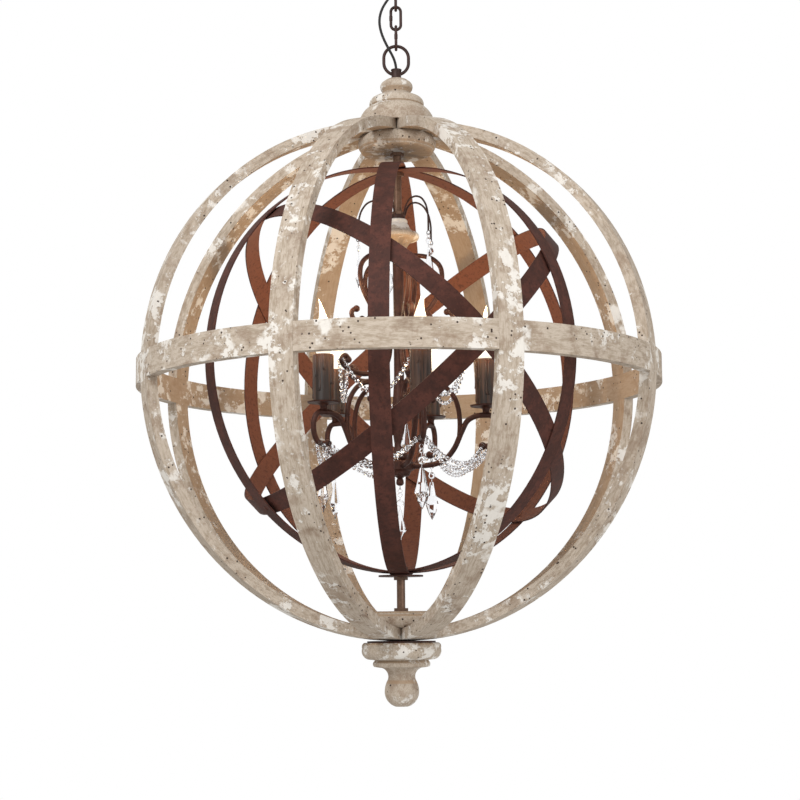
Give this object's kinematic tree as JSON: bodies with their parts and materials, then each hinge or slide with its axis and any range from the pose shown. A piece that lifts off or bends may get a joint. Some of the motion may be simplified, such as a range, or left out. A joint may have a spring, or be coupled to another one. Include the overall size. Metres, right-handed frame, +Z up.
{
  "type": "orb chandelier",
  "caption": "Hanging light: an open whitewashed wooden globe round a steel strap cage and a candle-style candelabra with cut-glass drops, on a chain and canopy.",
  "frame": {"origin": "centre of the ceiling bracket's upper face, where it meets the ceiling", "axes": "+Z up into the ceiling, -Y to the front, +X to the right seen from the front"},
  "size_m": [0.65, 0.65, 0.9948],
  "materials": {
    "whitewashed_wood": "worn whitewash over bare pine",
    "rust_bronze_strap": "matte rust bronze",
    "dark_bronze": "satin dark bronze",
    "black_iron": "satin black-brown",
    "zinc_steel": "bronzed steel",
    "candle_resin": "dark resin with wax runs",
    "holder_phenolic": "moulded black",
    "bulb_glass": "clear, lit",
    "cut_glass": "clear faceted",
    "cord_black": "matte"
  },
  "bodies": {
    "ceiling_group": {"canopy": "black_iron", "mounting_bracket": "black_iron", "canopy_nipple": "zinc_steel", "canopy_loop": "black_iron", "cord": "cord_black"},
    "link_4": {"chain_link_4": "black_iron"},
    "link_3": {"chain_link_3": "black_iron"},
    "link_2": {"chain_link_2": "black_iron"},
    "link_1": {"chain_link_1": "black_iron"},
    "globe": {"arm_1": "dark_bronze", "arm_2": "dark_bronze", "arm_3": "dark_bronze", "arm_4": "dark_bronze", "arm_5": "dark_bronze", "bead_garlands": "cut_glass", "bottom_disc": "whitewashed_wood", "bulbs": "bulb_glass", "cage_ring_1": "rust_bronze_strap", "cage_ring_2": "rust_bronze_strap", "cage_ring_3": "rust_bronze_strap", "cage_rivets": "rust_bronze_strap", "candle_sleeves": "candle_resin", "clamp_plates": "dark_bronze", "drip_pans": "dark_bronze", "equator_hoop": "whitewashed_wood", "finial": "whitewashed_wood", "glass_hooks": "black_iron", "hanging_loop": "black_iron", "hub": "dark_bronze", "hub_knob": "dark_bronze", "lamp_holders": "holder_phenolic", "lamp_pipes": "zinc_steel", "lock_nuts": "zinc_steel", "rib_1": "whitewashed_wood", "rib_2": "whitewashed_wood", "rib_3": "whitewashed_wood", "rib_4": "whitewashed_wood", "rib_5": "whitewashed_wood", "rib_6": "whitewashed_wood", "rib_7": "whitewashed_wood", "rib_8": "whitewashed_wood", "spindle": "dark_bronze", "tilted_ring_1": "rust_bronze_strap", "tilted_ring_2": "rust_bronze_strap", "top_cap": "whitewashed_wood", "top_disc": "whitewashed_wood", "upper_scrolls": "dark_bronze", "urn": "whitewashed_wood"},
    "upper_pendant_1_body": {"upper_pendant_1": "cut_glass"},
    "upper_pendant_2_body": {"upper_pendant_2": "cut_glass"},
    "upper_pendant_3_body": {"upper_pendant_3": "cut_glass"},
    "upper_pendant_4_body": {"upper_pendant_4": "cut_glass"},
    "upper_pendant_5_body": {"upper_pendant_5": "cut_glass"},
    "lower_pendant_1_body": {"lower_pendant_1": "cut_glass"},
    "lower_pendant_2_body": {"lower_pendant_2": "cut_glass"},
    "lower_pendant_3_body": {"lower_pendant_3": "cut_glass"},
    "lower_pendant_4_body": {"lower_pendant_4": "cut_glass"},
    "lower_pendant_5_body": {"lower_pendant_5": "cut_glass"},
    "centre_pendant_body": {"centre_pendant": "cut_glass"},
    "inner_pendant_body": {"inner_pendant": "cut_glass"}
  },
  "joints": [
    {"name": "link_4_swing", "type": "hinge", "parent": "ceiling_group", "child": "link_4", "pos_m": [0, 0, -0.0595], "axis": [0, 1, 0], "range_deg": [-20, 20], "deforming": ["cord"]},
    {"name": "link_3_swing", "type": "hinge", "parent": "link_4", "child": "link_3", "pos_m": [0, 0, -0.08565], "axis": [1, 0, 0], "range_deg": [-20, 20], "deforming": ["cord"]},
    {"name": "link_2_turn", "type": "hinge", "parent": "link_3", "child": "link_2", "pos_m": [0, 0, -0.11195], "axis": [0, 0, 1], "range_deg": [-20, 20], "deforming": ["cord"]},
    {"name": "link_1_swing", "type": "hinge", "parent": "link_2", "child": "link_1", "pos_m": [0, 0, -0.13825], "axis": [1, 0, 0], "range_deg": [-20, 20], "deforming": ["cord"]},
    {"name": "globe_swing", "type": "hinge", "parent": "link_1", "child": "globe", "pos_m": [0, 0, -0.16455], "axis": [0, 1, 0], "range_deg": [-20, 20], "deforming": ["cord"]},
    {"name": "upper_pendant_1_swing", "type": "hinge", "parent": "globe", "child": "upper_pendant_1_body", "pos_m": [0.03813, -0.03234, -0.4138], "axis": [0.6468, 0.7627, 0], "range_deg": [-25, 25]},
    {"name": "upper_pendant_2_swing", "type": "hinge", "parent": "globe", "child": "upper_pendant_2_body", "pos_m": [0.04254, 0.02627, -0.4138], "axis": [-0.5255, 0.8508, 0], "range_deg": [-25, 25]},
    {"name": "upper_pendant_3_swing", "type": "hinge", "parent": "globe", "child": "upper_pendant_3_body", "pos_m": [-0.01184, 0.04858, -0.4138], "axis": [-0.9715, -0.2368, 0], "range_deg": [-25, 25]},
    {"name": "upper_pendant_4_swing", "type": "hinge", "parent": "globe", "child": "upper_pendant_4_body", "pos_m": [-0.04986, 0.00375, -0.4138], "axis": [-0.075, -0.9972, 0], "range_deg": [-25, 25]},
    {"name": "upper_pendant_5_swing", "type": "hinge", "parent": "globe", "child": "upper_pendant_5_body", "pos_m": [-0.01897, -0.04626, -0.4138], "axis": [0.9252, -0.3795, 0], "range_deg": [-25, 25]},
    {"name": "lower_pendant_1_swing", "type": "hinge", "parent": "globe", "child": "lower_pendant_1_body", "pos_m": [0.02582, -0.1059, -0.6851], "axis": [0.9715, 0.2368, 0], "range_deg": [-25, 25]},
    {"name": "lower_pendant_2_swing", "type": "hinge", "parent": "globe", "child": "lower_pendant_2_body", "pos_m": [0.10869, -0.00817, -0.6851], "axis": [0.075, 0.9972, 0], "range_deg": [-25, 25]},
    {"name": "lower_pendant_3_swing", "type": "hinge", "parent": "globe", "child": "lower_pendant_3_body", "pos_m": [0.04136, 0.10085, -0.6851], "axis": [-0.9252, 0.3795, 0], "range_deg": [-25, 25]},
    {"name": "lower_pendant_4_swing", "type": "hinge", "parent": "globe", "child": "lower_pendant_4_body", "pos_m": [-0.08313, 0.0705, -0.6851], "axis": [-0.6468, -0.7627, 0], "range_deg": [-25, 25]},
    {"name": "lower_pendant_5_swing", "type": "hinge", "parent": "globe", "child": "lower_pendant_5_body", "pos_m": [-0.09274, -0.05728, -0.6851], "axis": [0.5255, -0.8508, 0], "range_deg": [-25, 25]},
    {"name": "centre_pendant_swing", "type": "hinge", "parent": "globe", "child": "centre_pendant_body", "pos_m": [0, 0, -0.7289], "axis": [1, 0, 0], "range_deg": [-25, 25]},
    {"name": "inner_pendant_swing", "type": "hinge", "parent": "globe", "child": "inner_pendant_body", "pos_m": [0.00831, -0.0341, -0.62605], "axis": [0.9715, 0.2368, 0], "range_deg": [-25, 25]}
  ]
}
